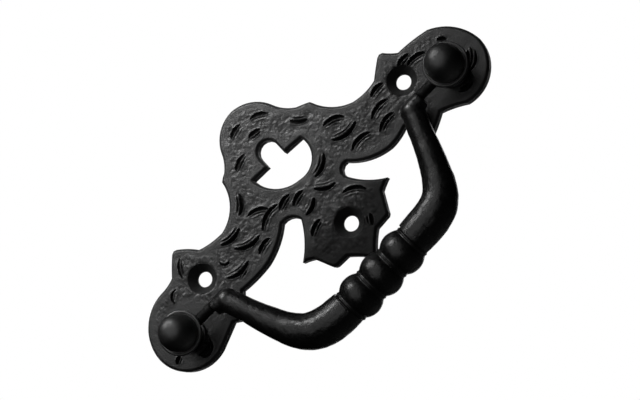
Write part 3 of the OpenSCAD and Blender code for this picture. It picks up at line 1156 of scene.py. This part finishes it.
@dataclass(frozen=True)
class Lamp:
    """A soft box: where it hangs, the point that it faces, its width and height in millimetres.

    Its power is in watts. Its roll about the way that it faces and its beam's spread are in degrees.
    """

    name: str
    place: Triple
    look: Triple
    size: Pair
    power: float
    roll: float = 0.0
    spread: float = 180.0

    def hang(self) -> None:
        """Adds the lamp to the scene."""
        data = bpy.data.lights.new(self.name, "AREA")
        data.energy, data.shape, data.spread = self.power, "RECTANGLE", math.radians(self.spread)
        data.size, data.size_y = self.size[0] * MM, self.size[1] * MM
        lamp = bpy.data.objects.new(self.name, data)
        bpy.context.scene.collection.objects.link(lamp)
        lamp.location = Vector(self.place) * MM
        aimed = (Vector(self.look) - Vector(self.place)).to_track_quat("-Z", "Y")
        lamp.rotation_euler = (aimed @ Quaternion((0.0, 0.0, 1.0), math.radians(self.roll))).to_euler()
        lamp.visible_camera = False


@dataclass
class Studio:
    """Camera, white surroundings, a large soft box near the camera and a narrow one overhead, floor and drapes."""

    floor_level: float = -400.0
    floor_reach: float = 4000.0
    drape_reach: float = 500.0
    drape_depth: Pair = (-700.0, 900.0)
    drape_top: float = 500.0
    azimuth: float = 7.0
    rise: float = -19.0
    distance: float = 420.0
    aim: Triple = (0.8808, -3.0, 0.9491)
    roll: float = 43.0776
    focal: float = 90.12
    sensor: float = 36.0
    clip: Pair = (0.01, 20.0)
    fill_colour: tuple[float, float, float, float] = (0.95, 0.97, 1.0, 1.0)
    fill_strength: float = 0.06
    lamps: tuple[Lamp, ...] = (
        Lamp("key_panel", (-18.0, -235.0, 70.0), (0.0, 0.0, 0.0), (300.0, 250.0), power=0.14, roll=45.0),
        Lamp("top_box", (-25.0, -72.0, 118.0), (-25.0, 0.0, 30.0), (180.0, 50.0), power=0.038, spread=45.0),
    )
    pale: Matte = Matte("pale_floor", (0.86, 0.86, 0.85), roughness=0.9, specular=0.1, lift=0.75)
    cloth: Matte = Matte("dark_cloth", (0.015, 0.015, 0.015), roughness=1.0, specular=0.0)

    def build(self) -> None:
        """Builds everything round the object."""
        self._camera()
        self._world()
        for lamp in self.lamps:
            lamp.hang()
        self._floor()
        self._drapes()

    def _camera(self) -> None:
        """The photograph's camera: a little below and to the right, turned on its side."""
        a, e = math.radians(self.azimuth), math.radians(-self.rise)
        away = Vector((math.sin(a) * math.cos(e), -math.cos(a) * math.cos(e), -math.sin(e)))
        level = Vector((math.cos(a), math.sin(a), 0.0))
        upright = away.cross(level)
        roll = math.radians(self.roll)
        right = math.cos(roll) * level - math.sin(roll) * upright
        up = math.sin(roll) * level + math.cos(roll) * upright
        data = bpy.data.cameras.new("photo_camera")
        data.lens = self.focal
        data.sensor_width = self.sensor
        data.clip_start, data.clip_end = self.clip
        camera = bpy.data.objects.new("photo_camera", data)
        bpy.context.scene.collection.objects.link(camera)
        place = (Vector(self.aim) + self.distance * away) * MM
        camera.matrix_world = Matrix.Translation(place) @ Matrix((right, up, away)).transposed().to_4x4()
        bpy.context.scene.camera = camera

    def _world(self) -> None:
        """White where the camera or a reflection sees it, soft grey light for the rest."""
        graph = Graph(bpy.data.worlds.new("studio_world"))
        graph.owner.node_tree.nodes.clear()
        path = graph.add("ShaderNodeLightPath").outputs
        seen = graph.maths("MAXIMUM", path["Is Camera Ray"], path["Is Glossy Ray"])
        seen = graph.maths("MAXIMUM", seen, path["Is Transmission Ray"])
        soft = graph.add("ShaderNodeBackground", {"Color": self.fill_colour, "Strength": self.fill_strength})
        white = graph.add("ShaderNodeBackground", {"Color": WHITE, "Strength": 1.0})
        mix = graph.add("ShaderNodeMixShader", {"Fac": seen, 1: soft.outputs["Background"],
                                                2: white.outputs["Background"]})
        graph.add("ShaderNodeOutputWorld", {"Surface": mix.outputs["Shader"]})
        bpy.context.scene.world = graph.owner

    def _floor(self) -> None:
        """A wide pale floor below the hanging pull."""
        reach, level = self.floor_reach, self.floor_level
        corners = [(-reach, -reach, level), (reach, -reach, level), (reach, reach, level), (-reach, reach, level)]
        floor = make_mesh("floor", corners, [(0, 1, 2, 3)])
        floor.data.materials.append(self.pale.material())

    def _drapes(self) -> None:
        """Dark drapes in front, above and at both sides, which keep the reflections deep."""
        wide, top, low = self.drape_reach, self.drape_top, self.floor_level
        near, far = self.drape_depth
        sheets = {"front": [(-wide, near, low), (wide, near, low), (wide, near, top), (-wide, near, top)],
                  "top": [(-wide, near, top), (wide, near, top), (wide, far, top), (-wide, far, top)],
                  "left": [(-wide, near, low), (-wide, far, low), (-wide, far, top), (-wide, near, top)],
                  "right": [(wide, near, low), (wide, far, low), (wide, far, top), (wide, near, top)]}
        cloth = self.cloth.material()
        for name, corners in sheets.items():
            drape = make_mesh(f"drape_{name}", corners, [(0, 1, 2, 3)])
            drape.data.materials.append(cloth)
            drape.visible_camera = False


def main() -> None:
    """Builds the pull's pieces, dresses them and lights the scene."""
    logging.basicConfig(level=logging.INFO, format="%(name)s: %(message)s")
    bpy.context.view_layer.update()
    bpy.context.scene.view_settings.view_transform = "Standard"
    Studio().build()
    plate_iron = BlackIron("plate_iron", roughness=(0.38, 0.54), specular=0.52, grain_size=0.4,
                           grain_height=0.07).material()
    post_iron = BlackIron("post_iron", colour=(0.012, 0.012, 0.012), roughness=(0.4, 0.54), specular=1.0,
                          grain_size=0.4, grain_height=0.015).material()
    bail_iron = BlackIron("bail_iron", colour=(0.005, 0.005, 0.005), roughness=(0.27, 0.42), specular=0.62,
                          grain_size=0.7, grain_height=0.07, pit_depth=0.04).material()
    plate = Backplate()
    dressed = [(plate.build(), plate_iron)]
    LOG.info("%d chisel marks", len(plate.marks))
    dressed += [(Post(side).build(), post_iron) for side in Side]
    dressed += [(piece, bail_iron) for piece in Bail().build()]
    for piece, iron in dressed:
        piece.data.materials.clear()
        piece.data.materials.append(iron)
        LOG.info("%s: %d faces", piece.name, len(piece.data.polygons))


if __name__ == "__main__":
    main()
